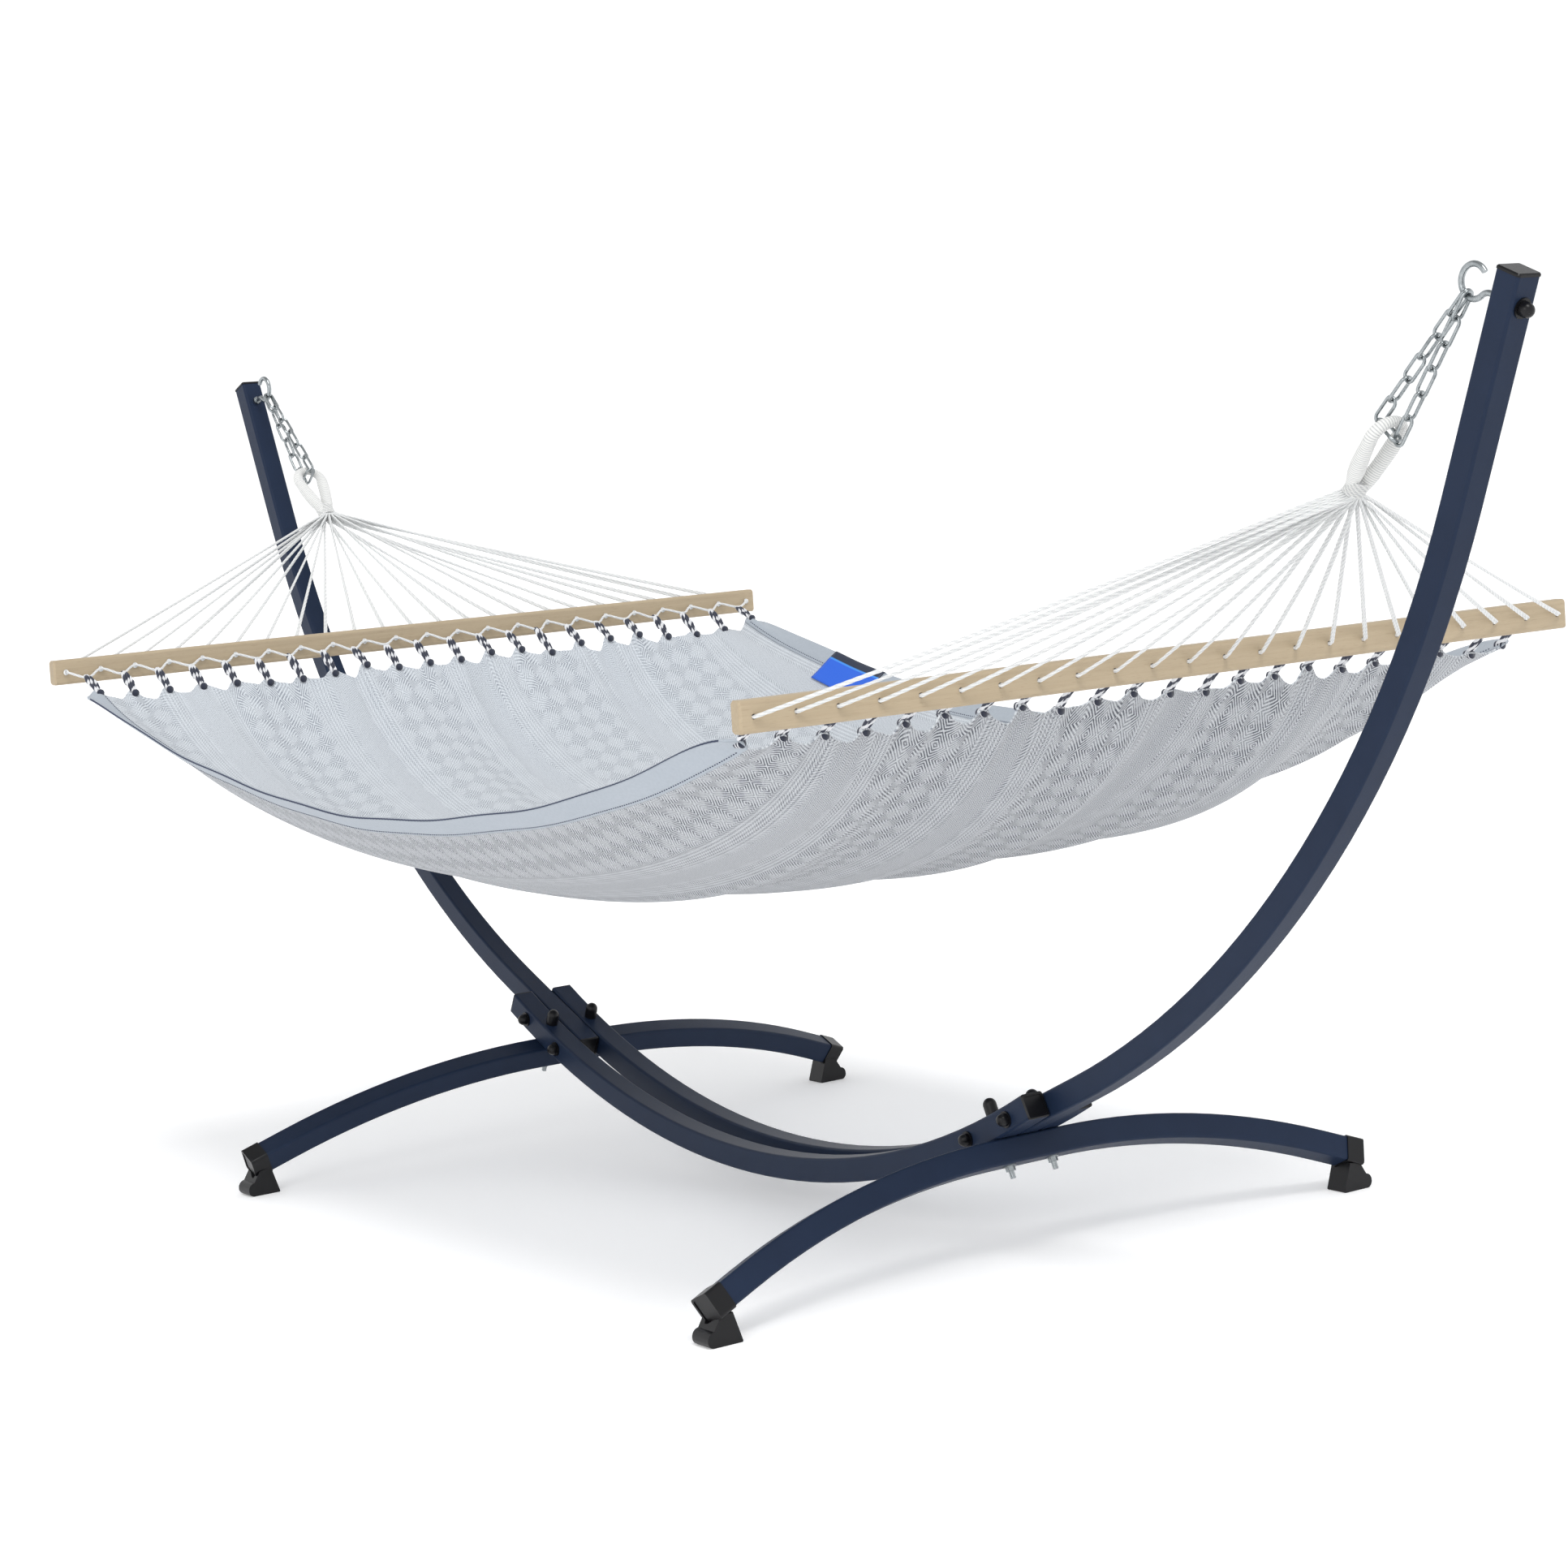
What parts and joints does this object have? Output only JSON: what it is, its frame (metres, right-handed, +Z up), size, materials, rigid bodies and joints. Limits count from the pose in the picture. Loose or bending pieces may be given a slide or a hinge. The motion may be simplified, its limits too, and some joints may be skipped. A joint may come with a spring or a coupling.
{
  "type": "hammock on stand",
  "caption": "Spreader-bar hammock hung by chains from the hooked arms of a curved steel stand with cross legs and plastic feet; the hammock swings and rolls on the stand.",
  "frame": {"origin": "on the floor, below the middle of the stand", "axes": "+X along the stand's length, +Y across the bed, +Z up"},
  "size_m": [3.4012, 1.44, 1.3638],
  "materials": {
    "powder_coat": "satin fine-grain powder coat",
    "black_plastic": "moulded, semi-gloss",
    "zinc": "bright zinc plate",
    "bar_wood": "clear satin lacquer",
    "wrapped_rope": "tight cord wrap",
    "white_cord": "twisted polyester",
    "loop_webbing": "woven navy and white",
    "jacquard": "woven jacquard with navy diamonds",
    "hem_cloth": "plain weave with navy edge stitch",
    "label_cloth": "plain satin label, blue and black, no text"
  },
  "bodies": {
    "stand": {"arm_left": "powder_coat", "arm_lower_plug_left": "black_plastic", "arm_lower_plug_right": "black_plastic", "arm_right": "powder_coat", "arm_top_cap_left": "black_plastic", "arm_top_cap_right": "black_plastic", "base_end_plugs_left": "black_plastic", "base_end_plugs_right": "black_plastic", "base_tube_front": "powder_coat", "base_tube_rear": "powder_coat", "cross_leg_left": "powder_coat", "cross_leg_right": "powder_coat", "foot_left_front": "black_plastic", "foot_left_rear": "black_plastic", "foot_right_front": "black_plastic", "foot_right_rear": "black_plastic", "hook_dome_nut_left": "black_plastic", "hook_dome_nut_right": "black_plastic", "hook_inner_nut_left": "zinc", "hook_inner_nut_right": "zinc", "hook_left": "zinc", "hook_outer_washer_left": "black_plastic", "hook_outer_washer_right": "black_plastic", "hook_right": "zinc", "leg_bolt_caps_left": "black_plastic", "leg_bolt_caps_right": "black_plastic", "leg_bolts_left": "zinc", "leg_bolts_right": "zinc", "leg_nuts_left": "zinc", "leg_nuts_right": "zinc", "leg_washers_left": "zinc", "leg_washers_right": "zinc", "side_bolts_left": "zinc", "side_bolts_right": "zinc", "side_dome_nuts_left": "black_plastic", "side_dome_nuts_right": "black_plastic"},
    "chains": {"chain_left": "zinc", "chain_right": "zinc"},
    "hammock": {"clew_strings_left": "white_cord", "clew_strings_right": "white_cord", "eye_loop_left": "wrapped_rope", "eye_loop_right": "wrapped_rope", "fabric_bed": "jacquard", "hem_front": "hem_cloth", "hem_rear": "hem_cloth", "label": "label_cloth", "lacing_cord_left": "white_cord", "lacing_cord_right": "white_cord", "lacing_loops_left": "loop_webbing", "lacing_loops_right": "loop_webbing", "spreader_bar_left": "bar_wood", "spreader_bar_right": "bar_wood"}
  },
  "joints": [
    {"name": "chain_swing", "type": "hinge", "parent": "stand", "child": "chains", "pos_m": [0, 0, 1.32322], "axis": [1, 0, 0], "range_deg": [-25, 25]},
    {"name": "bed_roll", "type": "hinge", "parent": "chains", "child": "hammock", "pos_m": [0, 0, 1.15948], "axis": [1, 0, 0], "range_deg": [-10, 10]}
  ]
}
